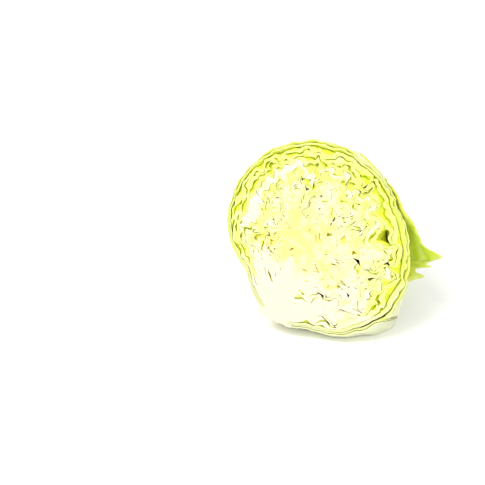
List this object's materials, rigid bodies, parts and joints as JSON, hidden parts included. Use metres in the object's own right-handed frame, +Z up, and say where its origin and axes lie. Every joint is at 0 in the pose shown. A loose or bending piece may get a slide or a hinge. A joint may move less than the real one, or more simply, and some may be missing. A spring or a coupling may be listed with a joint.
{
  "type": "iceberg lettuce half",
  "caption": "Half of an iceberg lettuce head cut lengthways through the stem, resting on a flat spot with its cut face leaning back.",
  "frame": {"origin": "centre of the bounding box's underside, on the surface the half rests on", "axes": "+Z up; the cut face looks towards -Y and 40 degrees up; +X to the right of someone facing the cut face, along the longest extent"},
  "size_m": [0.1672, 0.1264, 0.1243],
  "materials": {
    "stem_flesh": "moist cream flesh, satin",
    "heart_leaf": "pale yellow leaf, satin",
    "inner_leaf": "pale yellow-green leaf, satin",
    "wrapper_leaf": "waxy light green leaf, satin"
  },
  "bodies": {
    "root": {"stem": "stem_flesh", "heart_leaf_1": "heart_leaf", "heart_leaf_2": "heart_leaf", "heart_leaf_3": "heart_leaf", "heart_leaf_4": "heart_leaf", "heart_leaf_5": "heart_leaf", "heart_leaf_6": "heart_leaf", "heart_leaf_7": "heart_leaf", "heart_leaf_8": "heart_leaf", "inner_leaf_1": "inner_leaf", "inner_leaf_2": "inner_leaf", "inner_leaf_3": "inner_leaf", "inner_leaf_4": "inner_leaf", "inner_leaf_5": "inner_leaf", "inner_leaf_6": "inner_leaf", "inner_leaf_7": "inner_leaf", "inner_leaf_8": "inner_leaf", "inner_leaf_9": "inner_leaf", "inner_leaf_10": "inner_leaf", "inner_leaf_11": "inner_leaf", "inner_leaf_12": "inner_leaf", "inner_leaf_13": "inner_leaf", "inner_leaf_14": "inner_leaf", "under_leaf": "wrapper_leaf", "left_leaf": "wrapper_leaf", "right_leaf": "wrapper_leaf", "outer_leaf": "wrapper_leaf", "loose_leaf": "wrapper_leaf"}
  },
  "joints": []
}
